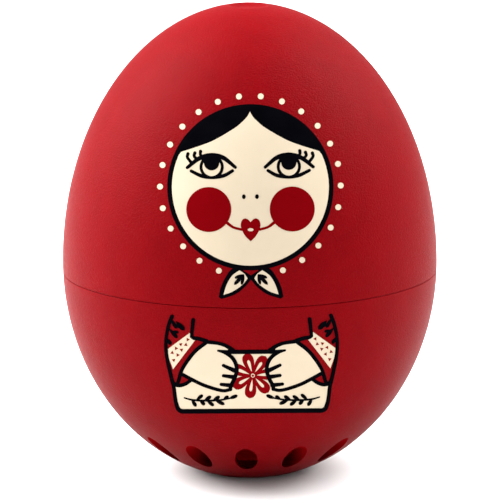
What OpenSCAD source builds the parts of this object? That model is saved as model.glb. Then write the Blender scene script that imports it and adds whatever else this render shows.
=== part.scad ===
// Egg-shaped kitchen timer that cooks in the pot beside the eggs.
// Two shells meet at a quick-turn thread; the front faces -Y and the foot stands on z = 0.
// Water and sound pass through a ring of holes into a wet chamber in the base.
// A bulkhead seals that chamber from the board, the coin cell and the buzzer above it.

/* [Egg] */
// Greatest diameter of the egg
egg_d = 47.6; // [46:0.1:60]
// Height of the egg above the table, before the crown recess is taken out
egg_h = 60; // [56:0.5:75]
// Height of the widest section above the table
widest_z = 27; // [25:0.1:34]
// Diameter of the flat foot
foot_d = 12; // [9:0.5:15]
// Wall thickness of both shells
wall = 2; // [1.6:0.1:2.4]
// Thickness of the floor inside the foot
floor_t = 1.6; // [1.2:0.1:2.4]
// Depth of the dish under the foot
dish_depth = 0.4; // [0.2:0.1:0.8]
// Diameter of the moulding recess in the crown
recess_d = 5.4; // [3:0.2:6]
// Depth of the moulding recess in the crown
recess_depth = 0.5; // [0.3:0.05:0.9]

/* [Parting line] */
// Height of the parting line above the table
seam_z = 26; // [24:0.5:32]
// Gap between the two shells
seam_gap = 0.05; // [0.05:0.05:0.4]
// Bevel on both edges of the parting line
seam_edge = 0.1; // [0.05:0.05:0.4]

/* [Sound holes] */
// Number of holes round the base
hole_count = 14; // [8:1:18]
// Diameter of each hole
hole_d = 2.85; // [2:0.05:3.5]
// Height of the holes where they leave the shell
hole_z = 4.2; // [3:0.05:5]
// Rise of each hole towards the outside, in degrees
hole_tilt = 10.5; // [0:0.5:15]
// Turn of the whole ring of holes about the axis, in degrees
hole_phase = -2.5; // [-10:0.5:10]

/* [Quick-turn thread] */
// Height of the neck above the parting line
neck_h = 6.5; // [6.2:0.1:9]
// Wall of the upper shell behind the thread
thread_wall = 2.2; // [1.8:0.1:2.8]
// Depth of the thread ribs on the neck
rib_depth = 1.05; // [0.9:0.05:1.3]
// Thickness of the ribs and lugs along the axis
rib_t = 1.2; // [0.8:0.1:1.3]
// Rise of the thread in one full turn
lead = 12; // [10:1:14]
// Number of thread starts
starts = 4; // [3:1:4]
// Angle that each rib on the neck covers
rib_span = 62; // [50:2:66]
// Angle that each lug in the upper shell covers
lug_span = 26; // [18:2:30]
// Cord diameter of the seal between the shells, as squeezed
seam_cord = 1.2; // [1:0.1:1.4]

/* [Wet chamber and bulkhead] */
// Height of the wet chamber above the floor
chamber_h = 9.9; // [9:0.1:12]
// Width of the ledge that carries the bulkhead
ledge_w = 5.8; // [5.4:0.1:7]
// Thickness of that ledge
ledge_t = 3.4; // [3.2:0.1:4.5]
// Thickness of the bulkhead
bulkhead_t = 2; // [1.8:0.1:3]
// Thickness of the ballast ring
ballast_t = 4; // [3:0.5:5]
// Width of the ballast ring
ballast_w = 5.2; // [4.8:0.1:6]
// Cord diameter of the bulkhead's seal, as squeezed
bulkhead_cord = 0.8; // [0.6:0.1:1]

/* [Buzzer and probe] */
// Diameter of the buzzer's brass disc
buzzer_d = 15; // [12:0.5:15]
// Diameter of its ceramic layer
ceramic_d = 10; // [8:0.5:11]
// Thickness of each layer
buzzer_t = 0.2; // [0.15:0.05:0.3]
// Diameter of the steel probe sleeve
probe_d = 4; // [3.5:0.1:4.4]
// Clear height between the probe's tip and the floor
probe_clear = 2.6; // [2.2:0.1:4]
// Wall of the probe sleeve
probe_wall = 0.3; // [0.2:0.05:0.4]

/* [Board and coin cell] */
// Height of the standoffs under the board
standoff_h = 2.5; // [2.4:0.1:3]
// Thickness of the circuit board
board_t = 1; // [0.8:0.1:1.2]
// Diameter of the coin cell
cell_d = 20; // [16:0.5:20]
// Thickness of the coin cell
cell_t = 3.2; // [1.6:0.1:4]
// Height of the coin cell above the board
cell_lift = 1.6; // [1.4:0.1:2.4]
// Wall of the battery holder
holder_wall = 1.05; // [0.8:0.05:1.3]

/* [Hidden] */
$fn = 96;

half_r = egg_d / 2;
lower_semi = widest_z / sqrt(1 - pow(foot_d / egg_d, 2));
upper_semi = egg_h - widest_z;

// Clearances: parts that only sit together, parts that slide past each other, and shafts in their holes
sit_gap = 0.05;
slide_gap = 0.15;
shank_gap = 0.03;
// How far a solid reaches into another that it is fused with
bite = 0.3;

// Heights of the stack, from the table up
rim_z = seam_z - seam_gap / 2;
cap_z = seam_z + seam_gap / 2;
ledge_z = floor_t + chamber_h;
bulkhead_top = ledge_z + bulkhead_t;
ballast_top = bulkhead_top + ballast_t;
board_z = ballast_top + standoff_h;
board_top = board_z + board_t;
cell_z = board_top + cell_lift;
neck_top = seam_z + neck_h;

// Radii of the thread and seal, from the outside in
thread_r = egg_r(seam_z) - thread_wall;
rib_r = thread_r - 0.2;
root_r = rib_r - rib_depth;
lug_r = root_r + 0.27;
seal_r = lug_r - 0.1;
cord_r = seal_r - sit_gap - seam_cord / 2;
groove_r = cord_r - seam_cord / 2 - shank_gap;
neck_bore_r = groove_r - 1;
groove_w = seam_cord + 0.2;
groove_mid = neck_top - 1.4;
seat_z = groove_mid - seam_cord / 2 - sit_gap;

// The neck ring's flange sits in a rebate inside the lower shell's rim
flange_r = egg_r(seam_z) - 1.3;
flange_h = 2.5;

// Thread: ribs stand on the neck, lugs hang under them from the upper shell
rib_mid = seam_z + 2.3;
lug_drop = rib_t + 0.12;
lug_turn = 15;
lug_mid = rib_mid + lead * lug_turn / 360 - lug_drop;
thread_taper = 0.15;

// Pocket above the ledge, with the bulkhead and ballast in it
pocket_r = egg_r(ledge_z) - 1.9;
stack_r = pocket_r - slide_gap;
standoff_r = stack_r - ballast_w / 2;
standoff_turns = [30, 150, 270];
bulkhead_cord_r = pocket_r - ledge_w + bulkhead_cord + 0.1;

// Buzzer towards the front, probe towards the back
buzzer_y = -(stack_r - ballast_w - buzzer_d / 2 - 0.3);
probe_y = buzzer_y + buzzer_d / 2 + 3.7;
probe_r = probe_d / 2;
probe_tip = floor_t + probe_clear;
probe_flange_r = probe_r + 1.2;
probe_flange_t = 0.3;
probe_cord = 0.7;
bead_d = 1.8;
bead_h = 2.8;
bead_z = probe_tip + probe_wall + 0.2;
lead_pitch = 1;
lead_d = 0.4;

// Fasteners
post_d = 2.5;
post_hex = 4.6;
post_depth = 2.8;
screw_d = 2;
screw_head_d = 3.8;
screw_head_h = 1.2;
screw_l = 2;

// Board outline and the battery holder's place on it
board_r = neck_bore_r - 0.35;
cell_r = cell_d / 2;
holder_bore = cell_r + slide_gap;
holder_r = holder_bore + holder_wall;
holder_y = board_r - holder_r - 1.5;
holder_base = 0.8;
holder_top = cell_z + cell_t * 0.75;
lid_r = cell_r - 1.2;
lid_h = 0.25;
contact_w = 4;
contact_t = 0.25;
// Turn of the lower contact's tail, to keep it clear of the screw beside the holder
tail_turn = 20;
parts_y = -(holder_r - holder_y) - 5.4;

function egg_r(z) =
    half_r * sqrt(1 - pow((z - widest_z) / (z < widest_z ? lower_semi : upper_semi), 2));

function egg_angle(z) = asin((z - widest_z) / (z < widest_z ? lower_semi : upper_semi));

// Point on the egg's outline at an angle, moved inwards by t along the normal
function egg_point(a, t = 0) =
    let (b = a < 0 ? lower_semi : upper_semi, n = [b * cos(a), half_r * sin(a)])
    [half_r * cos(a), widest_z + b * sin(a)] - t * n / norm(n);

function egg_arc(a0, a1, t = 0, step = 1.6) =
    let (n = ceil(abs(a1 - a0) / step))
    [for (i = [0:n]) egg_point(a0 + (a1 - a0) * i / n, t)];

function first(list) = list[0];
function last(list) = list[len(list) - 1];

// ---- Shells ----

// Inside of the lower shell: wet chamber, ledge, pocket and the rebate for the neck ring
function lower_cavity() =
    let (
        skin = egg_arc(-88, egg_angle(rim_z), wall),
        under = ledge_z - ledge_t,
        chamber = [for (p = skin) if (p[1] > floor_t && p[1] < under - 0.6) p],
        above = [for (p = skin) if (p[1] > ledge_z && p[0] > pocket_r && p[1] < rim_z - flange_h) p],
        rebate_r = flange_r + sit_gap
    )
    concat(
        [[0, floor_t], [first(chamber)[0], floor_t]],
        chamber,
        [[pocket_r - ledge_w, under], [pocket_r - ledge_w, ledge_z], [pocket_r, ledge_z]],
        [[pocket_r, first(above)[1]]],
        above,
        [[last(above)[0], rim_z - flange_h], [rebate_r, rim_z - flange_h]],
        [[rebate_r, rim_z + 1], [0, rim_z + 1]]
    );

module lower_profile() {
    difference() {
        polygon(concat(
            [[0, 0]],
            egg_arc(egg_angle(0), egg_angle(rim_z - seam_edge)),
            [[egg_r(rim_z) - seam_edge, rim_z], [0, rim_z]]
        ));
        polygon(lower_cavity());
        polygon([
            [0, -1],
            [foot_d * 0.3, -1],
            [foot_d * 0.3, 0],
            [foot_d * 0.3 - dish_depth, dish_depth],
            [0, dish_depth]
        ]);
    }
}

module sound_holes() {
    for (i = [0:hole_count - 1])
        rotate([0, 0, -90 + hole_phase + 360 * i / hole_count])
            translate([egg_r(hole_z) - 1, 0, hole_z])
                rotate([0, 90 - hole_tilt, 0])
                    cylinder(d = hole_d, h = 11, center = true);
}

module lower_shell() {
    color("firebrick")
        difference() {
            rotate_extrude() lower_profile();
            sound_holes();
            at_standoffs(ledge_z - post_depth - 0.1)
                cylinder(d = post_d + 2 * shank_gap, h = post_depth + 1);
        }
}

module upper_profile() {
    land_step = thread_r - seal_r;
    inner = [
        for (p = egg_arc(0, 90, wall))
            if (p[1] > neck_top + 0.5 && p[1] - neck_top - 0.5 >= p[0] - seal_r) p
    ];
    difference() {
        polygon(concat(
            [[0, cap_z], [egg_r(cap_z) - seam_edge, cap_z]],
            egg_arc(egg_angle(cap_z + seam_edge), 90)
        ));
        polygon(concat(
            [[0, cap_z - 1], [thread_r, cap_z - 1], [thread_r, seat_z - land_step * 0.4], [seal_r, seat_z]],
            [[seal_r, neck_top + 0.5]],
            inner
        ));
        translate([0, egg_h])
            polygon([
                [0, -recess_depth],
                [recess_d * 0.3, -recess_depth],
                [recess_d * 0.42, -recess_depth * 0.7],
                [recess_d * 0.5, 0],
                [recess_d * 0.5, 1],
                [0, 1]
            ]);
    }
}

module upper_shell() {
    color("firebrick") {
        rotate_extrude() upper_profile();
        for (i = [0:starts - 1])
            thread_segment(
                thread_r + bite, lug_r, lug_mid, 360 * i / starts + lug_turn, lug_span,
                rib_t / 2, rib_t / 2 - thread_taper
            );
    }
}

// ---- Thread and seal ----

// Part of a helical rib from its root radius to its tip radius, centred on angle mid_a at height mid_z
module thread_segment(root, tip, mid_z, mid_a, span, root_half, tip_half) {
    steps = ceil(span / 4);
    inward = tip < root;
    r0 = inward ? tip : root;
    r1 = inward ? root : tip;
    h0 = inward ? tip_half : root_half;
    h1 = inward ? root_half : tip_half;
    points = [
        for (i = [0:steps])
            let (a = span * (i / steps - 0.5), z = mid_z + lead * a / 360)
            let (c = cos(mid_a + a), s = sin(mid_a + a))
            each [
                [r0 * c, r0 * s, z - h0],
                [r1 * c, r1 * s, z - h1],
                [r1 * c, r1 * s, z + h1],
                [r0 * c, r0 * s, z + h0]
            ]
    ];
    sides = [
        for (i = [0:steps - 1], k = [0:3])
            let (a = 4 * i + k, b = 4 * i + (k + 1) % 4)
            each [[a, b, b + 4], [a, b + 4, a + 4]]
    ];
    polyhedron(points, concat([[3, 2, 1, 0]], sides, [[0, 1, 2, 3] + [1, 1, 1, 1] * 4 * steps]));
}

module neck_ring() {
    color("firebrick") {
        rotate_extrude()
            polygon([
                [neck_bore_r, rim_z - flange_h],
                [flange_r, rim_z - flange_h],
                [flange_r, rim_z],
                [root_r, rim_z],
                [root_r, groove_mid - groove_w / 2],
                [groove_r, groove_mid - groove_w / 2],
                [groove_r, groove_mid + groove_w / 2],
                [root_r, groove_mid + groove_w / 2],
                [root_r, neck_top - 0.4],
                [root_r - 0.4, neck_top],
                [neck_bore_r, neck_top]
            ]);
        for (i = [0:starts - 1]) {
            thread_segment(
                root_r - bite, rib_r, rib_mid, 360 * i / starts, rib_span,
                rib_t / 2, rib_t / 2 - thread_taper
            );
            thread_stop(360 * i / starts);
        }
    }
}

// Block under a rib, which the lug meets when the egg is closed and its front lines up
module thread_stop(turn) {
    stop_span = 9;
    edge = lug_turn - lug_span / 2 - 0.4;
    stop_top = rib_mid + lead * (edge - stop_span) / 360;
    rotate([0, 0, turn + edge - stop_span])
        rotate_extrude(angle = stop_span)
            polygon([
                [root_r - bite, rim_z - bite],
                [rib_r - 0.1, rim_z - bite],
                [rib_r - 0.1, stop_top],
                [root_r - bite, stop_top]
            ]);
}

module seam_seal() {
    color("dimgray")
        translate([0, 0, groove_mid])
            rotate_extrude() translate([cord_r, 0]) circle(d = seam_cord);
}

// ---- Bulkhead, ballast and standoffs ----

module at_standoffs(z) {
    for (a = standoff_turns)
        rotate([0, 0, a]) translate([standoff_r, 0, z]) children();
}

module bulkhead() {
    color("ghostwhite")
        difference() {
            translate([0, 0, ledge_z]) cylinder(r = stack_r, h = bulkhead_t);
            translate([0, 0, ledge_z - 1])
                rotate_extrude()
                    translate([bulkhead_cord_r - bulkhead_cord / 2 - 0.1, 0])
                        square([bulkhead_cord + 0.2, 1 + bulkhead_cord]);
            translate([0, buzzer_y, ledge_z - 1]) cylinder(d = buzzer_d - 2, h = bulkhead_t);
            translate([0, probe_y, ledge_z - 1]) cylinder(r = probe_r + sit_gap, h = bulkhead_t + 2);
            translate([0, probe_y, bulkhead_top - probe_cord]) cylinder(r = probe_r + 1, h = bulkhead_t);
            at_standoffs(ledge_z - 1) cylinder(d = post_d + 0.4, h = bulkhead_t + 2);
        }
}

module bulkhead_seal() {
    color("dimgray")
        translate([0, 0, ledge_z + bulkhead_cord / 2])
            rotate_extrude() translate([bulkhead_cord_r, 0]) circle(d = bulkhead_cord);
}

module ballast_ring() {
    color("slategray")
        difference() {
            translate([0, 0, bulkhead_top])
                rotate_extrude()
                    polygon([
                        [stack_r - ballast_w, 0],
                        [stack_r, 0],
                        [stack_r, ballast_t - 0.4],
                        [stack_r - 0.4, ballast_t],
                        [stack_r - ballast_w + 0.4, ballast_t],
                        [stack_r - ballast_w, ballast_t - 0.4]
                    ]);
            at_standoffs(bulkhead_top - 1) cylinder(d = post_d + 0.4, h = ballast_t + 2);
        }
}

module standoffs() {
    shank = post_depth + bulkhead_t + ballast_t;
    color("goldenrod")
        at_standoffs(ballast_top)
            difference() {
                union() {
                    cylinder(d = post_hex, h = standoff_h, $fn = 6);
                    translate([0, 0, -shank]) cylinder(d = post_d, h = shank + bite);
                }
                translate([0, 0, standoff_h - screw_l + board_t - 0.3])
                    cylinder(d = screw_d + 2 * shank_gap, h = screw_l);
            }
}

// ---- Buzzer ----

module buzzer_disc() {
    color("gold") translate([0, buzzer_y, bulkhead_top]) cylinder(d = buzzer_d, h = buzzer_t);
}

module buzzer_ceramic() {
    color("whitesmoke")
        translate([0, buzzer_y, bulkhead_top + buzzer_t]) cylinder(d = ceramic_d, h = buzzer_t);
}

function bezier(p, q, rise, t) =
    pow(1 - t, 3) * p + 3 * t * pow(1 - t, 2) * (p + [0, 0, rise])
    + 3 * (1 - t) * pow(t, 2) * (q - [0, 0, rise]) + pow(t, 3) * q;

function bezier_way(p, q, rise, t) =
    3 * pow(1 - t, 2) * [0, 0, rise] + 6 * t * (1 - t) * (q - p - [0, 0, 2 * rise])
    + 3 * pow(t, 2) * [0, 0, rise];

// Insulated wire that leaves p and meets q upright, bending in the vertical plane through both
module wire(p, q, d = 0.8, rings = 14, sides = 8) {
    rise = (q[2] - p[2]) * 0.55;
    across = cross([0, 0, 1], q - p) / norm(cross([0, 0, 1], q - p));
    points = [
        for (i = [0:rings])
            let (t = i / rings, way = bezier_way(p, q, rise, t), up = cross(way, across) / norm(way))
            for (k = [0:sides - 1])
                bezier(p, q, rise, t) + d / 2 * (cos(360 * k / sides) * up + sin(360 * k / sides) * across)
    ];
    skin = [
        for (i = [0:rings - 1], k = [0:sides - 1])
            let (a = sides * i + k, b = sides * i + (k + 1) % sides)
            each [[a, b, b + sides], [a, b + sides, a + sides]]
    ];
    foot = [[for (k = [sides - 1:-1:0]) k]];
    head = [[for (k = [0:sides - 1]) sides * rings + k]];
    polyhedron(points, concat(foot, skin, head));
}

module buzzer_wire_red() {
    color("red") wire([1, buzzer_y, bulkhead_top + 2 * buzzer_t], [5, buzzer_y - 2.5, board_z]);
}

module buzzer_wire_black() {
    color("black")
        wire([-ceramic_d / 2 - 1.2, buzzer_y, bulkhead_top + buzzer_t], [-4, buzzer_y - 3, board_z]);
}

// ---- Temperature probe ----

module probe_sleeve() {
    tip_round = 0.9;
    color("silver")
        translate([0, probe_y, 0])
            rotate_extrude()
                polygon(concat(
                    [[0, probe_tip]],
                    [for (a = [-90:15:0]) [
                        probe_r - tip_round + tip_round * cos(a),
                        probe_tip + tip_round + tip_round * sin(a)
                    ]],
                    [[probe_r, bulkhead_top], [probe_flange_r, bulkhead_top]],
                    [[probe_flange_r, bulkhead_top + probe_flange_t]],
                    [[probe_r - probe_wall, bulkhead_top + probe_flange_t]],
                    [[probe_r - probe_wall, probe_tip + tip_round]],
                    [[probe_r - tip_round, probe_tip + probe_wall], [0, probe_tip + probe_wall]]
                ));
}

module probe_seal() {
    color("dimgray")
        translate([0, probe_y, bulkhead_top - probe_cord / 2])
            rotate_extrude() translate([probe_r + 0.5, 0]) circle(d = probe_cord);
}

// Push-on steel washer with inner teeth, gripping the sleeve under the bulkhead
module probe_retainer() {
    washer_t = 0.3;
    teeth = 6;
    color("silver")
        translate([0, probe_y, ledge_z - washer_t])
            difference() {
                cylinder(r = probe_r + 1.6, h = washer_t);
                translate([0, 0, -1]) cylinder(r = probe_r + shank_gap, h = washer_t + 2);
                for (i = [0:teeth - 1])
                    rotate([0, 0, 360 * i / teeth])
                        translate([probe_r - 0.5, -0.25, -1]) cube([1.3, 0.5, washer_t + 2]);
            }
}

module thermistor() {
    color("darkslategray")
        translate([0, probe_y, bead_z])
            rotate_extrude()
                polygon(concat(
                    [for (a = [-90:15:0]) bead_d / 2 * [cos(a), 1 + sin(a)]],
                    [[bead_d / 2, bead_h - 0.3], [bead_d / 2 - 0.2, bead_h], [0, bead_h]]
                ));
}

module thermistor_leads() {
    color("silver")
        for (side = [-1, 1])
            translate([side * lead_pitch / 2, probe_y, bead_z + bead_h])
                cylinder(d = lead_d, h = board_z - bead_z - bead_h);
}

// ---- Circuit board ----

module circuit_board() {
    color("seagreen")
        difference() {
            translate([0, 0, board_z]) cylinder(r = board_r, h = board_t);
            at_standoffs(board_z - 1) cylinder(d = screw_d + 0.3, h = board_t + 2);
        }
}

module board_screws() {
    color("silver")
        at_standoffs(board_top)
            difference() {
                union() {
                    rotate_extrude()
                        polygon([
                            [0, 0],
                            [screw_head_d / 2, 0],
                            [screw_head_d / 2, screw_head_h * 0.5],
                            [screw_head_d / 2 - 0.4, screw_head_h],
                            [0, screw_head_h]
                        ]);
                    translate([0, 0, -screw_l]) cylinder(d = screw_d, h = screw_l + bite);
                }
                for (turn = [0, 90])
                    rotate([0, 0, turn])
                        translate([-1.1, -0.2, screw_head_h - 0.7]) cube([2.2, 0.4, 1]);
            }
}

// Eight-pin controller with gull-wing legs, lying left of the front screw
chip_place = [-7, parts_y];
chip_size = [3.9, 4.9, 1.5];

module controller_chip() {
    pins = 4;
    pitch = 1.27;
    color("black")
        translate([chip_place[0], chip_place[1], board_top]) {
            translate([0, 0, 0.1 + chip_size[2] / 2]) cube(chip_size, center = true);
            for (side = [0, 180], i = [0:pins - 1])
                rotate([0, 0, side])
                    translate([0, (i - (pins - 1) / 2) * pitch + 0.2, 0])
                        rotate([90, 0, 0])
                            linear_extrude(height = 0.4)
                                polygon([
                                    [1.8, 0.7], [2.35, 0.7], [2.45, 0], [3, 0],
                                    [3, 0.2], [2.6, 0.2], [2.5, 0.9], [1.8, 0.9]
                                ]);
        }
}

// Watch crystal lying on the board with its two legs bent down
crystal_place = [4.2, parts_y + 2.2];

module crystal() {
    can_d = 2;
    can_l = 6;
    color("silver")
        translate([crystal_place[0], crystal_place[1], board_top + can_d / 2]) {
            rotate([0, 90, 0]) cylinder(d = can_d, h = can_l);
            for (side = [-1, 1])
                translate([0, side * 0.35, 0]) {
                    translate([-1, 0, 0]) rotate([0, 90, 0]) cylinder(d = 0.3, h = 1 + bite);
                    translate([-1, 0, -can_d / 2]) cylinder(d = 0.3, h = can_d / 2 + 0.15);
                }
        }
}

capacitor_places = [[4.6, parts_y - 1], [7.4, parts_y - 1], [-11.4, parts_y + 3.4]];
resistor_places = [[4.6, parts_y - 3.2], [-1, parts_y + 1.6], [11.6, parts_y + 4]];

// Chip component with its soldered ends a little proud of its body
module chip_part(size, cap) {
    translate([-size[0] / 2 + cap / 2, -size[1] / 2 + 0.05, 0.05])
        cube([size[0] - cap, size[1] - 0.1, size[2] - 0.1]);
    for (side = [-1, 1])
        translate([side * (size[0] - cap) / 2 - cap / 2, -size[1] / 2, 0])
            cube([cap, size[1], size[2]]);
}

module capacitors() {
    color("tan")
        for (p = capacitor_places)
            translate([p[0], p[1], board_top]) chip_part([2, 1.25, 0.9], 0.4);
}

module resistors() {
    color("black")
        for (p = resistor_places)
            translate([p[0], p[1], board_top]) chip_part([2, 1.25, 0.5], 0.35);
}

// Solder beads on the board's top where the probe's and the buzzer's leads come up
module solder_joints() {
    bead_r = 0.7;
    places = [[10.5, parts_y + 0.8], [12.6, parts_y + 1.4], [-11.2, parts_y + 0.6], [-13, parts_y + 1.8]];
    color("silver")
        for (p = places)
            translate([p[0], p[1], board_top])
                rotate_extrude() polygon([for (a = [0:15:90]) bead_r * [cos(a), 0.7 * sin(a)], [0, 0]]);
}

// ---- Coin cell and its holder ----

module battery_holder() {
    seat_r = lid_r + 0.15;
    color("black")
        translate([0, holder_y, 0])
            difference() {
                translate([0, 0, board_top])
                    rotate_extrude()
                        polygon([
                            [0, 0],
                            [holder_r, 0],
                            [holder_r, holder_top - board_top],
                            [holder_bore + 0.3, holder_top - board_top],
                            [holder_bore, holder_top - board_top - 0.4],
                            [holder_bore, cell_lift + lid_h - 0.02],
                            [seat_r, cell_lift + lid_h - 0.02],
                            [seat_r, holder_base],
                            [0, holder_base]
                        ]);
                // finger gap at the front, to lift the cell out
                translate([-4.5, -holder_r - 1, cell_z + lid_h + 0.6])
                    cube([9, holder_wall + 2.4, cell_t + 2]);
                // ways through the wall for the two contacts
                translate([-contact_w / 2 - 0.3, lid_r, board_top - 1]) cube([contact_w + 0.6, 4, 12]);
                rotate([0, 0, tail_turn])
                    translate([-holder_r - 1, -contact_w / 2 - 0.3, board_top - 1])
                        cube([4, contact_w + 0.6, 12]);
            }
}

// Bent strip: the outline is a chain of points [along, height], thickened upwards, square to the chain
function strip(chain, t) =
    let (
        n = len(chain),
        normal = [
            for (i = [0:n - 1])
                let (d = chain[min(i + 1, n - 1)] - chain[max(i - 1, 0)])
                [-d[1], d[0]] / norm(d)
        ]
    )
    concat(chain, [for (i = [n - 1:-1:0]) chain[i] + t * normal[i]]);

// Spring arm that presses on the rim of the cell
module positive_contact() {
    rim = cell_r + sit_gap;
    lead_in = cell_z + cell_t + 0.3;
    color("silver")
        translate([0, holder_y, 0])
            rotate([90, 0, 90])
                linear_extrude(height = contact_w, center = true)
                    polygon(strip([
                        [holder_r + 1.1, board_top],
                        [cell_r + 1.1, board_top],
                        [cell_r + 0.9, board_top + 0.9],
                        [rim + contact_t + 0.05, cell_z + cell_t * 0.55],
                        [rim + contact_t + 0.5, lead_in]
                    ], -contact_t));
}

// Spring tongue under the cell, with its tail on the board beside the holder
module negative_contact() {
    tongue_top = cell_z - contact_t - sit_gap;
    floor_z = board_top + holder_base;
    color("silver")
        translate([0, holder_y, 0])
            rotate([90, 0, tail_turn])
                linear_extrude(height = contact_w, center = true)
                    polygon(strip([
                        [-holder_r - 1.1, board_top],
                        [-holder_r + 0.3, board_top],
                        [-lid_r + 0.6, floor_z],
                        [-3.5, floor_z + 0.05],
                        [-1.2, tongue_top],
                        [1.2, tongue_top],
                        [3, floor_z + 0.2]
                    ], contact_t));
}

module coin_cell() {
    bevel = 0.3;
    color("lightgray")
        translate([0, holder_y, cell_z])
            rotate_extrude()
                polygon([
                    [0, 0],
                    [lid_r - bevel, 0],
                    [lid_r, lid_h],
                    [cell_r - bevel, lid_h],
                    [cell_r, lid_h + bevel],
                    [cell_r, cell_t - bevel],
                    [cell_r - bevel, cell_t],
                    [0, cell_t]
                ]);
}

lower_shell();
upper_shell();
neck_ring();
seam_seal();
bulkhead();
bulkhead_seal();
ballast_ring();
standoffs();
buzzer_disc();
buzzer_ceramic();
buzzer_wire_red();
buzzer_wire_black();
probe_sleeve();
probe_seal();
probe_retainer();
thermistor();
thermistor_leads();
circuit_board();
board_screws();
controller_chip();
crystal();
capacitors();
resistors();
solder_joints();
battery_holder();
positive_contact();
negative_contact();
coin_cell();
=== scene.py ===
"""Egg timer: smooth shells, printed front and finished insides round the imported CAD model.

Shape constants are in millimetres, because the egg is drawn in them; meshes are made in metres.
The front faces -Y and the egg stands on z = 0.
"""
import math

import bmesh
import bpy
from mathutils import Matrix, Vector, geometry


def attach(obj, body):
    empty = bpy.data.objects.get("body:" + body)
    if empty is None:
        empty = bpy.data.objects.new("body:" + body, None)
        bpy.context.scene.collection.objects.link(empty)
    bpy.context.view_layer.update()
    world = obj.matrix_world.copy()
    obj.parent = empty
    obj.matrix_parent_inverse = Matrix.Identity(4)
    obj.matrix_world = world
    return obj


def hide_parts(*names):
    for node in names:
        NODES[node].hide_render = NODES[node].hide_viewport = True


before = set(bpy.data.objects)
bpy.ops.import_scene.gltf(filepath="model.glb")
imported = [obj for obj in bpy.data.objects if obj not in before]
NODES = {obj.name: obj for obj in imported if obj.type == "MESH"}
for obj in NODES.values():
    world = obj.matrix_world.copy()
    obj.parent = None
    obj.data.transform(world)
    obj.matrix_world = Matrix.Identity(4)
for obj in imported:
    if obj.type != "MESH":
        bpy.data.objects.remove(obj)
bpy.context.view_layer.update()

MM = 0.001

# ---- The egg, in millimetres ----
HALF_WIDTH = 23.8
HEIGHT = 60.0
WIDEST = 27.0
FOOT_R = 6.0
LOWER_SEMI = WIDEST / math.sqrt(1 - (FOOT_R / HALF_WIDTH) ** 2)
UPPER_SEMI = HEIGHT - WIDEST
WALL = 2.0
SEAM = 26.0
SEAM_GAP = 0.05
SEAM_EDGE = 0.1
TURNS = 256

# ---- The print ----
VIEW_TILT = math.radians(11.7)
EYE_DISTANCE = 600.0
AIM = Vector((-0.06, 0, 28.8))
ART_UP = Vector((0, math.sin(VIEW_TILT), math.cos(VIEW_TILT)))
EYE = AIM - EYE_DISTANCE * Vector((0, math.cos(VIEW_TILT), -math.sin(VIEW_TILT)))
INK_LIFT = 0.015
INK_SINK = 0.03
INK_SPREAD = 0.07
FLAT_LIFT = 0.03


def egg_radius(z):
    semi = LOWER_SEMI if z < WIDEST else UPPER_SEMI
    return HALF_WIDTH * math.sqrt(max(0.0, 1 - ((z - WIDEST) / semi) ** 2))


def egg_angle(z):
    """Angle of the outline at height z, from -90 degrees under the egg to 90 at the crown."""
    semi = LOWER_SEMI if z < WIDEST else UPPER_SEMI
    return math.degrees(math.asin((z - WIDEST) / semi))


def egg_point(angle, inset=0.0):
    """(radius, height) on the outline, moved inwards by inset along the normal."""
    a = math.radians(angle)
    semi = LOWER_SEMI if angle < 0 else UPPER_SEMI
    normal = Vector((semi * math.cos(a), HALF_WIDTH * math.sin(a))).normalized()
    point = Vector((HALF_WIDTH * math.cos(a), WIDEST + semi * math.sin(a)))
    return tuple(point - inset * normal)


def egg_arc(start, end, inset=0.0, step=0.8):
    count = math.ceil(abs(end - start) / step)
    return [egg_point(start + (end - start) * i / count, inset) for i in range(count + 1)]


# ---- Mesh helpers ----

def new_object(name, bm, material, sharp=35):
    bmesh.ops.recalc_face_normals(bm, faces=bm.faces)
    mesh = bpy.data.meshes.new(name)
    bm.to_mesh(mesh)
    bm.free()
    mesh.polygons.foreach_set("use_smooth", [True] * len(mesh.polygons))
    mesh.set_sharp_from_angle(angle=math.radians(sharp))
    mesh.materials.append(material)
    obj = bpy.data.objects.new(name, mesh)
    bpy.context.scene.collection.objects.link(obj)
    return obj


def around(radius, angle, z):
    """Point in metres at a radius, an angle and a height."""
    return radius * MM * math.cos(angle), radius * MM * math.sin(angle), z * MM


def lathe(profile, turns=TURNS):
    """Closed solid: the profile, in millimetres, starts and ends on the axis."""
    bm = bmesh.new()
    rings = []
    for radius, z in profile:
        if radius < 1e-6:
            rings.append([bm.verts.new((0, 0, z * MM))])
            continue
        ring = []
        for i in range(turns):
            a = 2 * math.pi * i / turns
            ring.append(bm.verts.new(around(radius, a, z)))
        rings.append(ring)
    for low, high in zip(rings, rings[1:]):
        for i in range(turns):
            j = (i + 1) % turns
            corners = [
                low[i % len(low)], low[j % len(low)],
                high[j % len(high)], high[i % len(high)],
            ]
            bm.faces.new(list(dict.fromkeys(corners)))
    return bm


def rounded(before, corner, after, radius, count=4):
    """Points of a small arc that replaces a corner of a profile."""
    corner = Vector(corner)
    start = corner + (Vector(before) - corner).normalized() * radius
    end = corner + (Vector(after) - corner).normalized() * radius
    points = []
    for i in range(count + 1):
        t = i / count
        points.append(tuple((1 - t) ** 2 * start + 2 * t * (1 - t) * corner + t ** 2 * end))
    return points


# ---- Materials ----

def principled(name, colour, roughness, metallic=0.0, coat=0.0, specular=0.5):
    material = bpy.data.materials.new(name)
    material.use_nodes = True
    shader = material.node_tree.nodes["Principled BSDF"]
    shader.inputs["Base Color"].default_value = (*colour, 1)
    shader.inputs["Roughness"].default_value = roughness
    shader.inputs["Metallic"].default_value = metallic
    shader.inputs["Coat Weight"].default_value = coat
    shader.inputs["Specular IOR Level"].default_value = specular
    material.diffuse_color = (*colour, 1)
    return material, material.node_tree, shader


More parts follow.
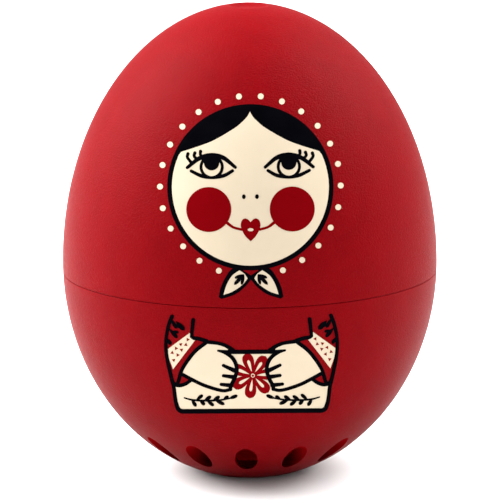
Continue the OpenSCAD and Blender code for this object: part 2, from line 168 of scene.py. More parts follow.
def add_noise(tree, scale, detail=4.0, stretch=(1, 1, 1)):
    """Noise in the object's own coordinates; scale is in features per metre."""
    place = tree.nodes.new("ShaderNodeTexCoord")
    mapping = tree.nodes.new("ShaderNodeMapping")
    mapping.inputs["Scale"].default_value = stretch
    noise = tree.nodes.new("ShaderNodeTexNoise")
    noise.inputs["Scale"].default_value = scale
    noise.inputs["Detail"].default_value = detail
    tree.links.new(place.outputs["Object"], mapping.inputs["Vector"])
    tree.links.new(mapping.outputs["Vector"], noise.inputs["Vector"])
    return noise.outputs["Fac"]


def vary_roughness(tree, shader, factor, low, high):
    spread = tree.nodes.new("ShaderNodeMapRange")
    spread.inputs["From Min"].default_value = 0.3
    spread.inputs["From Max"].default_value = 0.7
    spread.inputs["To Min"].default_value = low
    spread.inputs["To Max"].default_value = high
    tree.links.new(factor, spread.inputs["Value"])
    tree.links.new(spread.outputs["Result"], shader.inputs["Roughness"])


def vary_colour(tree, shader, factor, dark, light, low=0.3, high=0.7):
    ramp = tree.nodes.new("ShaderNodeValToRGB")
    ramp.color_ramp.elements[0].position = low
    ramp.color_ramp.elements[0].color = (*dark, 1)
    ramp.color_ramp.elements[1].position = high
    ramp.color_ramp.elements[1].color = (*light, 1)
    tree.links.new(factor, ramp.inputs["Fac"])
    tree.links.new(ramp.outputs["Color"], shader.inputs["Base Color"])


def add_bump(tree, shader, factor, distance):
    bump = tree.nodes.new("ShaderNodeBump")
    bump.inputs["Distance"].default_value = distance
    tree.links.new(factor, bump.inputs["Height"])
    tree.links.new(bump.outputs["Normal"], shader.inputs["Normal"])


def scaled(colour, factor):
    return tuple(min(1.0, c * factor) for c in colour)


def finish(name, colour, roughness, mottle=0.06, grain=2500, bump=0.00002, metallic=0.0, coat=0.0,
           specular=0.5, stretch=(1, 1, 1)):
    """Moulded, printed or machined surface: mottled colour, uneven gloss and a fine grain."""
    material, tree, shader = principled(name, colour, roughness, metallic, coat, specular)
    cloud = add_noise(tree, grain * 0.08, 3)
    vary_colour(tree, shader, cloud, scaled(colour, 1 - mottle), scaled(colour, 1 + mottle))
    fine = add_noise(tree, grain, 5, stretch)
    vary_roughness(tree, shader, fine, max(0.02, roughness - 0.05), min(1.0, roughness + 0.05))
    add_bump(tree, shader, fine, bump)
    return material


RED = (0.132, 0.0002, 0.0016)
shell_red = finish("shell_soft_touch_red", RED, 0.48, mottle=0.05, grain=5000, bump=0.0001,
                   specular=0.02)
# Painted light: lighter, unglossed copies of the shell red for the sound holes' walls and the chamber
# inside, brightening their shade.
bore_painted_light_red = finish("bore_painted_light_red", (0.18, 0.001, 0.002), 0.7, grain=2400, specular=0.0)
inside_painted_light_red = finish("inside_painted_light_red", (0.75, 0.004, 0.005), 0.8, grain=2400, specular=0.0)
neck_red = finish("neck_red", scaled(RED, 1.2), 0.42, grain=1800, specular=0.12)
ink_cream = finish("ink_cream", (0.455, 0.382, 0.284), 0.5, mottle=0.015, grain=4200, bump=0.000006,
                   specular=0.01)
ink_black = finish("ink_black", (0.0012, 0.0012, 0.0018), 0.5, mottle=0.2, grain=4200, bump=0.000006,
                   specular=0.0)
ink_red = finish("ink_red", scaled(RED, 0.95), 0.46, mottle=0.03, grain=4200, bump=0.000006,
                 specular=0.01)
silicone = finish("silicone_grey", (0.06, 0.06, 0.065), 0.6, grain=2600, specular=0.25)
ivory = finish("bulkhead_ivory", (0.72, 0.69, 0.60), 0.42, grain=2200)
turned_steel = finish("turned_steel", (0.50, 0.51, 0.53), 0.34, mottle=0.1, grain=1500, metallic=1.0,
                      stretch=(1, 1, 12))
bright_steel = finish("bright_steel", (0.58, 0.58, 0.60), 0.3, mottle=0.06, grain=3000, bump=0.000006,
                      metallic=1.0)
brass = finish("brass", (0.72, 0.50, 0.20), 0.28, mottle=0.12, grain=2400, bump=0.00001, metallic=1.0)
silvered = finish("silvered_ceramic", (0.62, 0.61, 0.58), 0.4, mottle=0.12, grain=5000, metallic=0.6)
sleeve_red = finish("insulation_red", (0.55, 0.01, 0.01), 0.35, grain=3000)
sleeve_black = finish("insulation_black", (0.012, 0.012, 0.013), 0.35, grain=3000)
solder_mask = finish("solder_mask_green", (0.006, 0.10, 0.035), 0.3, mottle=0.12, grain=2000,
                     specular=0.3)
moulded_black = finish("moulded_black", (0.012, 0.012, 0.014), 0.5, mottle=0.2, grain=4500, specular=0.2)
chip_black = finish("chip_black", (0.012, 0.012, 0.014), 0.62, mottle=0.25, grain=6000, bump=0.00003,
                    specular=0.2)
capacitor_tan = finish("capacitor_tan", (0.42, 0.26, 0.13), 0.5, mottle=0.12, grain=5000)
resistor_black = finish("resistor_black", (0.015, 0.015, 0.02), 0.4, mottle=0.2, grain=5000)
track_green = finish("track_green", (0.03, 0.24, 0.07), 0.35, mottle=0.1, grain=2000, specular=0.3)
etched_steel = finish("etched_steel", (0.22, 0.22, 0.23), 0.5, mottle=0.1, grain=3000, metallic=1.0)
solder = finish("solder", (0.66, 0.66, 0.68), 0.25, mottle=0.15, grain=3500, metallic=1.0)
bead_epoxy = finish("bead_epoxy", (0.02, 0.028, 0.028), 0.2, mottle=0.2, grain=3000, coat=0.5)

NODE_MATERIALS = {
    "neck_ring": neck_red, "seam_seal": silicone, "bulkhead": ivory, "bulkhead_seal": silicone,
    "ballast_ring": turned_steel, "standoffs": brass, "buzzer_disc": brass, "buzzer_ceramic": silvered,
    "buzzer_wire_red": sleeve_red, "buzzer_wire_black": sleeve_black, "probe_sleeve": bright_steel,
    "probe_seal": silicone, "probe_retainer": bright_steel, "thermistor": bead_epoxy,
    "thermistor_leads": solder, "circuit_board": solder_mask, "board_screws": bright_steel,
    "controller_chip": chip_black, "crystal": bright_steel, "capacitors": capacitor_tan,
    "resistors": resistor_black, "solder_joints": solder, "battery_holder": moulded_black,
    "positive_contact": bright_steel, "negative_contact": bright_steel, "coin_cell": bright_steel,
}


def finish_nodes():
    for name, material in NODE_MATERIALS.items():
        mesh = NODES[name].data
        mesh.materials.clear()
        mesh.materials.append(material)


# ---- Shells ----
RIM = SEAM - SEAM_GAP / 2
CAP_RIM = SEAM + SEAM_GAP / 2
FLOOR = 1.6
DISH_R = FOOT_R * 0.6
DISH_DEPTH = 0.4
LEDGE = 11.5
LEDGE_T = 3.4
LEDGE_BORE = egg_radius(LEDGE) - 7.7
POCKET_R = egg_radius(LEDGE) - 1.9
REBATE_R = egg_radius(SEAM) - 1.25
REBATE_DEPTH = 2.5
THREAD_R = egg_radius(SEAM) - 2.2
LAND_R = THREAD_R - 1.08
LAND_FROM = SEAM + 4.5
LAND_TO = SEAM + 7.0
HOLES = 14
HOLE_R = 1.425
HOLE_HEIGHT = 4.2
HOLE_TILT = math.radians(10.5)
HOLE_PHASE = -92.5
HOLE_DRILL = 11
SOCKET_R = 1.28
SOCKET_PLACE = 15.14
SOCKET_DRILL = 3
SOCKET_DRILL_DROP = 1.4
SOCKET_TURNS = (30, 150, 270)
FOOT_ROUND = 0.35


def lower_chain():
    """Profile of the lower shell: the outside from the foot to the rim, then the inside down."""
    rim_outer = (egg_radius(RIM), RIM)
    outer = egg_arc(egg_angle(0), egg_angle(RIM))
    outer = [p for p in outer if 0.25 < p[1] < RIM - SEAM_EDGE]
    skin = egg_arc(-88, egg_angle(RIM), WALL)
    chamber = [p for p in skin if FLOOR < p[1] < LEDGE - LEDGE_T - 0.6]
    above = [p for p in skin if p[1] > LEDGE and p[0] > POCKET_R and p[1] < RIM - REBATE_DEPTH]
    return (
        [(0, DISH_DEPTH), (DISH_R - DISH_DEPTH, DISH_DEPTH), (DISH_R, 0)]
        + rounded((DISH_R, 0), (FOOT_R, 0), outer[0], FOOT_ROUND)
        + outer
        + rounded(outer[-1], rim_outer, (REBATE_R, RIM), SEAM_EDGE)
        + [(REBATE_R, RIM), (REBATE_R, RIM - REBATE_DEPTH), (above[-1][0], RIM - REBATE_DEPTH)]
        + above[::-1]
        + [(POCKET_R, above[0][1]), (POCKET_R, LEDGE)]
        + [(LEDGE_BORE, LEDGE), (LEDGE_BORE, LEDGE - LEDGE_T)]
        + chamber[::-1]
        + [(chamber[0][0], FLOOR), (0, FLOOR)]
    )


def cylinder_cutter(bm, place, radius, length, sides=48):
    bmesh.ops.create_cone(
        bm, cap_ends=True, segments=sides, radius1=radius * MM, radius2=radius * MM,
        depth=length * MM, matrix=place,
    )


def cut(obj, cutter_bm):
    """Takes the cutter away from the object for good."""
    cutter = new_object("cutter", cutter_bm, obj.data.materials[0])
    modifier = obj.modifiers.new("cut", "BOOLEAN")
    modifier.operation = "DIFFERENCE"
    modifier.solver = "EXACT"
    modifier.object = cutter
    graph = bpy.context.evaluated_depsgraph_get()
    result = bpy.data.meshes.new_from_object(obj.evaluated_get(graph))
    obj.modifiers.clear()
    obj.data = result
    bpy.data.objects.remove(cutter)
    result.polygons.foreach_set("use_smooth", [True] * len(result.polygons))
    result.set_sharp_from_angle(angle=math.radians(35))


def line_inside(shell, skin=0.985, inner=0.935):
    """Gives the sound holes' walls and the wet chamber lighter, unglossed copies of the shell red: painted
    light that brightens the shade inside them.
    """
    shell.data.materials.append(bore_painted_light_red)
    shell.data.materials.append(inside_painted_light_red)
    for face in shell.data.polygons:
        centre = face.center / MM
        across = Vector((centre.x, centre.y)) / HALF_WIDTH
        span = Vector((*across, (centre.z - WIDEST) / LOWER_SEMI)).length
        if centre.z < LEDGE - LEDGE_T:
            face.material_index = int(span < skin) + int(span < inner)


def make_lower_shell():
    shell = new_object("cup_red", lathe(lower_chain()), shell_red)
    cutters = bmesh.new()
    for i in range(HOLES):
        turn = math.radians(HOLE_PHASE + 360 * i / HOLES)
        place = (
            Matrix.Rotation(turn, 4, "Z")
            @ Matrix.Translation(((egg_radius(HOLE_HEIGHT) - 1) * MM, 0, HOLE_HEIGHT * MM))
            @ Matrix.Rotation(math.pi / 2 - HOLE_TILT, 4, "Y")
        )
        cylinder_cutter(cutters, place, HOLE_R, HOLE_DRILL)
    for turn in SOCKET_TURNS:
        place = (
            Matrix.Rotation(math.radians(turn), 4, "Z")
            @ Matrix.Translation((SOCKET_PLACE * MM, 0, (LEDGE - SOCKET_DRILL_DROP) * MM))
        )
        cylinder_cutter(cutters, place, SOCKET_R, SOCKET_DRILL)
    cut(shell, cutters)
    line_inside(shell)
    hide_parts("lower_shell")
    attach(shell, "base")


RECESS_R = 2.5
RECESS_DEPTH = 0.5
LIP_ROUND = 0.12
LAND_STEP = 0.43


def upper_chain():
    """Profile of the upper shell: the outside from the recess to the rim, then the inside up."""
    rim_outer = (egg_radius(CAP_RIM), CAP_RIM)
    arch = [p for p in egg_arc(90, egg_angle(CAP_RIM)) if p[1] > CAP_RIM + SEAM_EDGE]
    outer = [p for p in arch if p[0] > RECESS_R + LIP_ROUND]
    lip = (RECESS_R, outer[0][1])
    crown = HEIGHT - RECESS_DEPTH
    side = (RECESS_R * 0.84, crown + RECESS_DEPTH * 0.3)
    inner = [p for p in egg_arc(0, 90, WALL) if p[1] > LAND_TO and p[1] - LAND_TO >= p[0] - LAND_R]
    return (
        [(0, crown), (RECESS_R * 0.6, crown), side]
        + rounded(side, lip, outer[0], LIP_ROUND)
        + outer
        + rounded(outer[-1], rim_outer, (THREAD_R, CAP_RIM), SEAM_EDGE)
        + rounded(rim_outer, (THREAD_R, CAP_RIM), (THREAD_R, LAND_FROM), 0.1)
        + [(THREAD_R, LAND_FROM - LAND_STEP), (LAND_R, LAND_FROM), (LAND_R, LAND_TO)]
        + inner
    )


LUGS = 4
LUG_TIP_R = 20.6
LUG_SPAN = 26
LUG_TURN = 15
LEAD = 12.0
RIB_T = 1.2
LUG_HEIGHT = SEAM + 2.3 + LEAD * LUG_TURN / 360 - RIB_T - 0.12


def add_lug(bm, middle):
    """Part of a helical rib on the inside of the cap, with sloping flanks."""
    steps = 12
    rings = []
    for i in range(steps + 1):
        offset = LUG_SPAN * (i / steps - 0.5)
        a = math.radians(middle + offset)
        z = LUG_HEIGHT + LEAD * offset / 360
        section = [
            (THREAD_R + 0.3, z - RIB_T / 2), (THREAD_R + 0.3, z + RIB_T / 2),
            (LUG_TIP_R, z + RIB_T / 2 - 0.15), (LUG_TIP_R, z - RIB_T / 2 + 0.15),
        ]
        rings.append([bm.verts.new(around(r, a, h)) for r, h in section])
    for near, far in zip(rings, rings[1:]):
        for k in range(4):
            bm.faces.new([near[k], near[(k + 1) % 4], far[(k + 1) % 4], far[k]])
    bm.faces.new(rings[0])
    bm.faces.new(rings[-1])


def make_upper_shell():
    shell = new_object("cap_red", lathe(upper_chain()), shell_red)
    lugs = bmesh.new()
    for i in range(LUGS):
        add_lug(lugs, 360 * i / LUGS + LUG_TURN)
    lugs = new_object("cap_lugs", lugs, neck_red)
    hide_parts("upper_shell")
    for piece in (shell, lugs):
        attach(piece, "cap")


# ---- Drawing the print: art points are (across, up) in millimetres, seen from the front ----

def on_shell(point, lift):
    """Casts an art point onto the egg from the viewer's eye, and raises it by lift."""
    ray = (AIM + Vector((point[0], 0, 0)) + ART_UP * point[1] - EYE).normalized()
    for semi, above in ((UPPER_SEMI, True), (LOWER_SEMI, False)):
        scale = Vector((1 / HALF_WIDTH, 1 / HALF_WIDTH, 1 / semi))
        start = (EYE - Vector((0, 0, WIDEST))) * scale
        way = ray * scale
        reach = start.dot(way)
        depth = reach * reach - way.dot(way) * (start.dot(start) - 1)
        hit = EYE + ray * ((-reach - math.sqrt(max(depth, 0))) / way.dot(way))
        if (hit.z >= WIDEST) == above:
            break
    normal = ((hit - Vector((0, 0, WIDEST))) * scale * scale).normalized()
    return (hit + normal * lift) * MM


def disc(centre, radius, up=None, count=48):
    """Circle, or an ellipse when the upright radius is given."""
    up = up or radius
    turns = [2 * math.pi * i / count for i in range(count)]
    return [(centre[0] + radius * math.cos(a), centre[1] + up * math.sin(a)) for a in turns]


def arc(centre, radius, start, end, count=24):
    points = []
    for i in range(count + 1):
        a = math.radians(start + (end - start) * i / count)
        points.append((centre[0] + radius * math.cos(a), centre[1] + radius * math.sin(a)))
    return points


def through(points, steps=6):
    """Smooth open curve through the points."""
    p = [Vector(q) for q in points]
    p = [2 * p[0] - p[1]] + p + [2 * p[-1] - p[-2]]
    curve = []
    for a, b, c, d in zip(p, p[1:], p[2:], p[3:]):
        for i in range(steps):
            t = i / steps
            bend = (2 * a - 5 * b + 4 * c - d) * t ** 2
            twist = (3 * b - a - 3 * c + d) * t ** 3
            curve.append(tuple(0.5 * (2 * b + (c - a) * t + bend + twist)))
    return curve + [tuple(points[-1])]


def stroke(points, widths, smooth=True):
    """Round-ended line as overlapping convex links; widths are spread evenly along it."""
    path = through(points) if smooth else points
    links = []
    for i, (a, b) in enumerate(zip(path, path[1:])):
        rims = []
        for k, p in ((i, a), (i + 1, b)):
            along = k / (len(path) - 1) * (len(widths) - 1)
            j = min(int(along), len(widths) - 2)
            width = widths[j] + (widths[j + 1] - widths[j]) * (along - j)
            rims += disc(p, (width + INK_SPREAD) / 2, count=20)
        links.append([rims[k] for k in geometry.convex_hull_2d(rims)])
    return links


def tear(base, tip, width, fullest=0.62, count=9):
    """Leaf or petal: pointed at its base, round at its tip."""
    base, tip = Vector(base), Vector(tip)
    along = tip - base
    side = Vector((-along.y, along.x)).normalized() * width / 2
    half = []
    for i in range(1, count + 1):
        t = i / count
        bulge = math.sin(math.pi / 2 * t / fullest) if t < fullest else \
            math.sqrt(max(0.0, 1 - ((t - fullest) / (1 - fullest)) ** 2))
        half.append((t, bulge))
    right = [tuple(base + along * t - side * b) for t, b in half]
    left = [tuple(base + along * t + side * b) for t, b in half[:-1]]
    return [tuple(base)] + right + left[::-1]


def mirrored(shapes):
    return [[(-u, v) for u, v in reversed(shape)] for shape in shapes]


def both_sides(shapes):
    return shapes + mirrored(shapes)


def placed(shapes, origin):
    return [[(u + origin[0], v + origin[1]) for u, v in shape] for shape in shapes]


def signed_area(shape):
    return sum(a[0] * b[1] - b[0] * a[1] for a, b in zip(shape, shape[1:] + shape[:1])) / 2


def divided(shape, longest=0.6):
    """The closed outline with no side longer than given, so that the film follows the shell."""
    points = []
    for a, b in zip(shape, shape[1:] + shape[:1]):
        count = math.ceil(math.dist(a, b) / longest) or 1
        for i in range(count):
            points.append((a[0] + (b[0] - a[0]) * i / count, a[1] + (b[1] - a[1]) * i / count))
    return points


def sheet(shapes, place, pitch=0.8):
    """Open mesh over the union of the shapes, each point put on its surface by place."""
    shapes = [divided(s if signed_area(s) > 0 else s[::-1]) for s in shapes]
    points, loops = [], []
    for shape in shapes:
        loops.append(list(range(len(points), len(points) + len(shape))))
        points += shape
    low = [min(p[k] for p in points) for k in (0, 1)]
    high = [max(p[k] for p in points) for k in (0, 1)]
    columns = int((high[0] - low[0]) / pitch) + 1
    rows = int((high[1] - low[1]) / pitch) + 1
    for i in range(columns):
        for j in range(rows):
            points.append((low[0] + (i + 0.5) * pitch, low[1] + (j + 0.5) * pitch))
    found = geometry.delaunay_2d_cdt([Vector(p) for p in points], [], loops, 1, 1e-5)
    corners, triangles, origins = found[0], found[2], found[5]
    bm = bmesh.new()
    verts = {}
    for triangle, origin in zip(triangles, origins):
        if not origin:
            continue
        for k in triangle:
            if k not in verts:
                verts[k] = bm.verts.new(place(corners[k]))
        bm.faces.new([verts[k] for k in triangle])
    return bm


def edge_verts(bm):
    """Extrudes the sheet's edge and gives the new points, still where the edge is."""
    edge = [e for e in bm.edges if e.is_boundary]
    skirt = bmesh.ops.extrude_edge_only(bm, edges=edge)["geom"]
    return [v for v in skirt if isinstance(v, bmesh.types.BMVert)]


def ink(name, shapes, layer, material, body):
    """One colour of the print on the shells, with its edge sunk into them."""
    lift = INK_LIFT * layer
    bm = sheet(shapes, lambda point: on_shell(point, lift))
    for v in edge_verts(bm):
        core = Vector((0, 0, WIDEST * MM + (v.co.z - WIDEST * MM) * 0.3))
        v.co += (core - v.co).normalized() * (lift + INK_SINK) * MM
    film = new_object(name, bm, material, sharp=50)
    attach(film, body)


def flat_print(name, shapes, height, material, body):
    """Thin raised pattern on a level surface inside the timer."""
    bm = sheet(shapes, lambda point: Vector((point[0], point[1], height + FLAT_LIFT)) * MM)
    for v in edge_verts(bm):
        v.co.z = (height - INK_SINK) * MM
    film = new_object(name, bm, material, sharp=50)
    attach(film, body)


# Face, about the centre of its round outline
FACE = (0.19, 7.52)
FACE_R = 10.57
FACE_INNER_R = 9.97
EYE_PLACE = (-4.9, 2.6)


def face_outline():
    hair = through([
        (0, 9.6), (-0.38, 8.95), (-0.95, 8.35), (-2.0, 7.5), (-4.5, 6.05), (-6.4, 5.3), (-8.75, 4.55),
    ])
    cheek_side = arc((0, 0), FACE_INNER_R, 155.5, 270)
    half = hair + cheek_side
    return half + mirrored([half])[0][1:-1]


def iris_white():
    """White of the eye that shows inside the iris ring, cut off level at the lid."""
    return arc(EYE_PLACE, 1.15, -208, 28)


def lashes():
    curls = [
        [(-7.9, 4.3), (-7.98, 3.85), (-7.5, 3.2)],
        [(-7.02, 4.4), (-7.12, 4.0), (-6.75, 3.6)],
        [(-6.3, 4.6), (-6.32, 4.2), (-6.05, 3.85)],
    ]
    return [link for curl in curls for link in stroke(curl, [0.36, 0.3, 0.34])]


def eye_lines():
    upper = [(-8.0, 2.55), (-6.45, 3.72), (-4.9, 4.05), (-3.4, 3.75), (-1.9, 2.55)]
    lower = [(-7.5, 2.1), (-6.2, 1.48), (-4.9, 1.3), (-3.4, 1.48), (-2.25, 2.1)]
    lids = stroke(upper, [0.34, 0.5, 0.62, 0.5, 0.34]) + stroke(lower, [0.34, 0.4, 0.42, 0.4, 0.34])
    return lids + lashes() + [disc(EYE_PLACE, 1.54)]


def mouth():
    half = through([
        (0, -4.42), (-0.35, -4.08), (-0.72, -3.97), (-1.1, -4.2),
        (-1.26, -4.8), (-1.08, -5.5), (-0.6, -6.3), (0, -6.88),
    ])
    return half + mirrored([half])[0][1:-1]


DOT_SLOTS = 26
DOT_RING_R = 11.48


def dots():
    shapes = []
    for i in range(DOT_SLOTS):
        turn = 90 + 360 / DOT_SLOTS * (i + 0.5)
        if abs(turn - 270) < 360 / DOT_SLOTS:
            continue
        a = math.radians(turn)
        place = (DOT_RING_R * math.cos(a), 0.15 + DOT_RING_R * math.sin(a))
        shapes.append(disc(place, 0.37, count=28))
    return shapes


def scarf_end():
    """Outline of one end of the knotted scarf, from the knot round its tip and back."""
    outer = through([(-1.0, -10.2), (-2.4, -10.35), (-3.3, -11.55), (-3.85, -12.75), (-4.12, -13.95)])
    under = through([(-3.75, -14.2), (-2.0, -13.6), (-0.75, -12.65), (0.0, -11.75)])
    return outer + under + [(0.0, -11.2), (-0.95, -10.6)]


def scarf_white():
    outer = through([(-1.45, -10.55), (-2.4, -11.25), (-3.1, -12.4), (-3.5, -13.65)])
    under = through([(-3.5, -13.65), (-2.35, -13.25), (-1.1, -12.4), (-0.42, -11.6)])
    return outer + under[1:] + [(-0.8, -11.0)]


def scarf_leaf():
    stem = (-0.85, -11.05)
    leaves = (((-2.15, -12.4), 0.5), ((-2.1, -11.55), 0.42), ((-1.2, -12.4), 0.42))
    return [tear(stem, tip, width) for tip, width in leaves]


def print_face():
    place = FACE
    line = [disc((0, 0), FACE_R, count=160)] + both_sides([scarf_end()])
    ink("print_face_line", placed(line, place), 1, ink_black, "cap")
    cream = [face_outline()] + both_sides([scarf_white()]) + dots()
    ink("print_face_cream", placed(cream, place), 2, ink_cream, "cap")
    smile = stroke([(-3.0, -4.5), (-2.2, -5.08), (-1.15, -5.38)], [0.34, 0.26, 0.26])
    red = both_sides([disc((-5.3, -2.8), 2.86)] + smile) + [mouth()]
    ink("print_face_red", placed(red, place), 3, ink_red, "cap")
    black = both_sides(eye_lines() + [disc((-0.83, -1.2), 0.24, 0.3)] + scarf_leaf())
    ink("print_face_black", placed(black, place), 3, ink_black, "cap")
    white = both_sides([iris_white()]) + [disc((0, -5.4), 0.36, 0.19)]
    ink("print_face_white", placed(white, place), 4, ink_cream, "cap")
    pupils = both_sides([disc((EYE_PLACE[0], EYE_PLACE[1] + 0.55), 0.98)])
    ink("print_face_pupils", placed(pupils, place), 5, ink_black, "cap")


# Hands and apron, about the middle of the apron's bottom line
APRON = (0.22, -20.9)
FLOWER = (0.14, 4.5)
PETALS = 7


def apron():
    side = [
        (0, 7.5), (-2.6, 7.5), (-7.0, 4.6), (-7.75, 3.95),
        (-8.4, 3.5), (-9.2, 3.28), (-9.88, 3.5), (-9.7, 1.4),
    ]
    half = side + arc((-8.7, 0.95), 0.95, 180, 270, 8)
    return half + mirrored([half])[0][:-1]


def hand():
    fingers = [
        (-3.4, 7.45), (-2.6, 6.9), (-2.1, 6.2), (-1.9, 5.4),
        (-2.0, 4.7), (-2.3, 3.9), (-2.7, 3.2), (-2.8, 2.7),
    ]
    return (
        through([(-5.9, 8.55), (-4.4, 8.5), (-3.6, 8.3), (-3.0, 7.8)])
        + through(fingers)
        + through([(-3.6, 2.6), (-4.9, 2.9), (-6.3, 3.4), (-7.7, 4.1), (-8.9, 4.8)])
        + through([(-8.1, 6.5), (-7.1, 7.7), (-6.3, 8.35)])
    )


def cuff():
    return [(-7.85, 9.95), (-7.2, 9.0), (-10.0, 5.35), (-10.45, 6.6), (-10.8, 7.8)]


def cuff_specks():
    shapes = []
    places = (
        (-8.1, 9.1), (-9.0, 8.5), (-8.35, 8.45), (-9.6, 8.0),
        (-8.9, 7.8), (-10.1, 7.45), (-9.4, 7.15), (-9.9, 6.5),
    )
    for i, place in enumerate(places):
        shapes.append(arc(place, 0.27, 40 * i, 40 * i + 240, 2))
    return shapes


def petals():
    red, slits = [], []
    for i in range(PETALS):
        a = math.radians(-17 + 360 * i / PETALS)
        out = Vector((math.sin(a), math.cos(a)))
        centre = Vector(FLOWER)
        red.append(tear(centre, centre + out * 2.95, 1.45, fullest=0.7, count=14))
        slits.append(tear(centre + out * 0.5, centre + out * 2.05, 0.36, fullest=0.8))
    return red, slits


def hand_lines():
    back = [(-5.75, 8.8), (-4.1, 8.58), (-3.1, 8.2), (-2.3, 7.65)]
    fingers = [
        (-4.1, 7.66), (-3.4, 7.4), (-2.6, 6.9), (-2.1, 6.2), (-1.9, 5.4),
        (-2.0, 4.7), (-2.3, 3.9), (-2.68, 3.2), (-2.72, 2.75),
    ]
    palm = [(-2.72, 2.75), (-3.6, 2.6), (-4.9, 2.9), (-6.3, 3.4), (-7.7, 4.1), (-9.0, 4.8)]
    wrist = [(-5.8, 8.7), (-7.1, 7.7), (-8.1, 6.5), (-8.9, 5.2), (-9.3, 3.9), (-9.5, 3.45)]
    lines = stroke(back, [0.4, 0.36, 0.4, 0.46])
    lines += stroke(fingers, [0.2, 0.42, 0.44, 0.44, 0.4])
    lines += stroke(palm, [0.36, 0.38, 0.4])
    lines += stroke(wrist, [0.42, 0.42, 0.4, 0.4])
    gaps = (((-3.6, 5.8), (-2.2, 5.15)), ((-3.6, 4.5), (-2.2, 4.3)), ((-3.9, 3.4), (-2.6, 3.25)))
    for start, end in gaps:
        lines += stroke([start, end], [0.34, 0.5], smooth=False)
    return lines


def sleeve_lines():
    edge = [
        (-10.1, 12.05), (-10.5, 11.0), (-10.8, 9.6), (-10.88, 8.2), (-10.72, 6.6),
        (-10.38, 5.0), (-10.1, 3.8), (-9.9, 3.0), (-9.7, 1.4), (-9.5, 0.62),
    ]
    fold = [(-10.1, 3.9), (-9.88, 3.5), (-9.2, 3.28), (-8.4, 3.5), (-7.75, 3.95)]
    lines = stroke(edge, [0.44, 0.36, 0.4, 0.4, 0.44])
    lines += stroke(arc((-8.75, 0.75), 0.75, 190, 270, 8), [0.46, 0.5], smooth=False)
    lines += stroke([(-8.75, 0), (0, 0)], [0.5, 0.5], smooth=False)
    lines += stroke([(-4.25, 7.68), (-3.3, 7.5), (0, 7.5)], [0.2, 0.46, 0.46], smooth=False)
    lines += stroke([(-7.4, 11.6), (-7.62, 9.5)], [0.44, 0.36], smooth=False)
    lines += stroke([(-7.62, 9.5), (-7.3, 9.28), (-6.7, 9.2), (-5.7, 8.9)], [0.36, 0.4, 0.42])
    lines += stroke(fold, [0.4, 0.38, 0.4])
    return lines


def sleeve_leaves():
    leaves = (
        ((-10.2, 11.75), (-9.5, 10.5), 0.36), ((-9.6, 11.45), (-8.5, 10.3), 0.5),
        ((-9.9, 11.0), (-8.95, 10.75), 0.36), ((-10.5, 10.55), (-9.4, 9.3), 0.4),
        ((-10.0, 10.2), (-9.25, 10.0), 0.3), ((-10.65, 9.25), (-10.25, 8.45), 0.36),
    )
    return [tear(base, tip, width * 1.25) for base, tip, width in leaves]


def sprig():
    stem = [(-8.6, 1.72), (-7.6, 1.45), (-6.0, 1.34), (-4.1, 1.4), (-2.8, 1.62)]
    shapes = stroke(stem, [0.07, 0.15, 0.17, 0.15, 0.12])
    leaves = (
        ((-7.1, 1.42), (-6.2, 2.08)), ((-6.1, 1.36), (-5.15, 1.9)), ((-5.0, 1.36), (-4.05, 1.88)),
        ((-3.7, 1.42), (-2.95, 1.9)), ((-3.0, 1.55), (-1.8, 1.98)), ((-7.7, 1.5), (-7.05, 0.6)),
        ((-6.65, 1.4), (-5.95, 0.78)), ((-5.75, 1.36), (-4.8, 0.68)), ((-4.7, 1.38), (-3.45, 0.84)),
    )
    return shapes + [tear(base, tip, 0.46) for base, tip in leaves]


def print_apron():
    place = APRON
    red, slits = petals()
    ink("print_apron_cream", placed([apron()] + both_sides([cuff()]), place), 1, ink_cream, "base")
    ink("print_apron_red", placed(red + both_sides(cuff_specks()), place), 2, ink_red, "base")
    ink("print_hands_cream", placed(slits + both_sides([hand()]), place), 3, ink_cream, "base")
    black = both_sides(hand_lines() + sleeve_lines() + sleeve_leaves() + sprig())
    ink("print_apron_black", placed(black, place), 4, ink_black, "base")
    ink("print_flower_eye", placed([disc(FLOWER, 0.24)], place), 4, ink_cream, "base")
    ink("print_flower_heart", placed([disc(FLOWER, 0.15)], place), 5, ink_red, "base")


# ---- Board and cell ----
BOARD_TOP = 21.0
PARTS_Y = -11.43
CHIP_X = -7.0
PIN_PITCH = 1.27
CHIP_PARTS = [(4.6, -1), (7.4, -1), (-11.4, 3.4), (4.6, -3.2), (-1, 1.6), (11.6, 4)]
CELL_Y = 5.17
CELL_TOP = 25.8


def pad(x, y, wide, deep):
    return [(x - wide / 2, y - deep / 2), (x + wide / 2, y - deep / 2),
            (x + wide / 2, y + deep / 2), (x - wide / 2, y + deep / 2)]


def pads():
    shapes = []
    for side in (-1, 1):
        for i in range(4):
            shapes.append(pad(CHIP_X + side * 2.8, (i - 1.5) * PIN_PITCH, 1.0, 0.6))
        for x, y in CHIP_PARTS:
            shapes.append(pad(x + side * 0.95, y, 0.7, 1.5))
    return shapes


def tracks():
    """Copper runs between the parts, seen through the green coating."""
    runs = [
        [(-4.2, 1.9), (-3.2, 1.6), (-2, 1.6)],
        [(0, 1.6), (2.6, 1.6), (3.2, 1.85)],
        [(-4.2, 0.64), (1.4, 0.64), (2.9, -1), (3.7, -1)],
        [(-4.2, -0.64), (0.6, -0.64), (3.1, -3.2), (3.7, -3.2)],
        [(-4.2, -1.9), (-3, -3.2), (-3, -4.6)],
        [(-9.8, 1.9), (-10.5, 2.6), (-10.5, 3.4)],
        [(-9.8, 0.64), (-11.2, 0.64)],
        [(-9.8, -0.64), (-11.6, -0.64), (-13, 0.8), (-13, 1.8)],
        [(-9.8, -1.9), (-10.6, -2.7)],
        [(5.5, -1), (6.5, -1)],
        [(8.3, -1), (9.2, -1), (10.5, 0.3), (10.5, 0.8)],
        [(5.5, -3.2), (8.6, -3.2), (12.6, 0.8), (12.6, 1.4)],
        [(10.6, 4), (10.6, 0.8)],
        [(12.6, 4), (13.6, 5)],
    ]
    return [link for run in runs for link in stroke(run, [0.32, 0.32], smooth=False)]


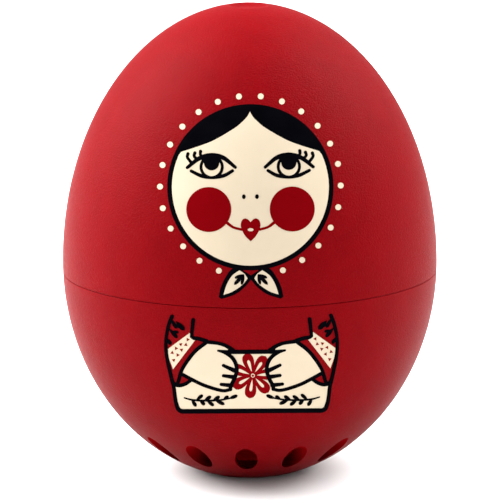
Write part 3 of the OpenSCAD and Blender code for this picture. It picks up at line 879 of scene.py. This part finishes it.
def print_insides():
    place = (0, PARTS_Y)
    flat_print("board_tracks", placed(tracks(), place), BOARD_TOP, track_green, "base")
    flat_print("board_pads", placed(pads(), place), BOARD_TOP + 0.01, solder, "base")
    plus = [pad(0, 0, 4.4, 1.0), pad(0, 0, 1.0, 4.4)]
    flat_print("cell_plus", placed(plus, (0, CELL_Y)), CELL_TOP, etched_steel, "cell")


# ---- Studio ----
CAMERA_DISTANCE = 600
FIELD = 63.6
CAMERA_AIM = Vector((0.03, 0, 28.35))
CAMERA_ROLL = math.radians(-0.35)


def make_camera():
    data = bpy.data.cameras.new("camera")
    data.sensor_width = 36
    data.lens = 36 * CAMERA_DISTANCE / FIELD
    data.clip_start = 0.05
    camera = bpy.data.objects.new("camera", data)
    way = Vector((0, math.cos(VIEW_TILT), -math.sin(VIEW_TILT)))
    camera.location = (CAMERA_AIM - way * CAMERA_DISTANCE) * MM
    aimed = way.to_track_quat("-Z", "Y").to_matrix() @ Matrix.Rotation(CAMERA_ROLL, 3, "Z")
    camera.rotation_euler = aimed.to_euler()
    bpy.context.scene.collection.objects.link(camera)
    bpy.context.scene.camera = camera


def make_floor():
    material = finish("floor_white", (0.73, 0.73, 0.73), 0.9, mottle=0.01, grain=200, bump=0.0, specular=0.0)
    bm = bmesh.new()
    bmesh.ops.create_grid(bm, x_segments=8, y_segments=8, size=3.0)
    floor = new_object("floor", bm, material)


def soft_light(name, azimuth, elevation, distance, width, height, power):
    """Rectangular studio light aimed at the egg's middle; azimuth 0 is the front."""
    data = bpy.data.lights.new(name, "AREA")
    data.shape = "RECTANGLE"
    data.size = width
    data.size_y = height
    data.energy = power
    light = bpy.data.objects.new(name, data)
    a, e = math.radians(azimuth), math.radians(elevation)
    back = Vector((math.sin(a) * math.cos(e), -math.cos(a) * math.cos(e), math.sin(e)))
    light.location = Vector((0, 0, 0.03)) + back * distance
    light.rotation_euler = (-back).to_track_quat("-Z", "Y").to_euler()
    bpy.context.scene.collection.objects.link(light)
    return light


def make_lights():
    world = bpy.data.worlds.new("studio")
    world.use_nodes = True
    background = world.node_tree.nodes["Background"]
    background.inputs["Color"].default_value = (1, 1, 1, 1)
    background.inputs["Strength"].default_value = 0.9
    bpy.context.scene.world = world
    soft_light("left_softbox", -105, 38, 0.45, 0.36, 0.40, 8.2)
    soft_light("right_softbox", 108, 42, 0.45, 0.36, 0.36, 5.0)
    overhead = soft_light("overhead_softbox", 180, 74, 0.45, 0.40, 0.40, 2.2)
    overhead.visible_glossy = False
    bpy.context.scene.view_settings.view_transform = "Standard"


finish_nodes()
make_lower_shell()
make_upper_shell()
print_face()
print_apron()
print_insides()
make_floor()
make_camera()
make_lights()
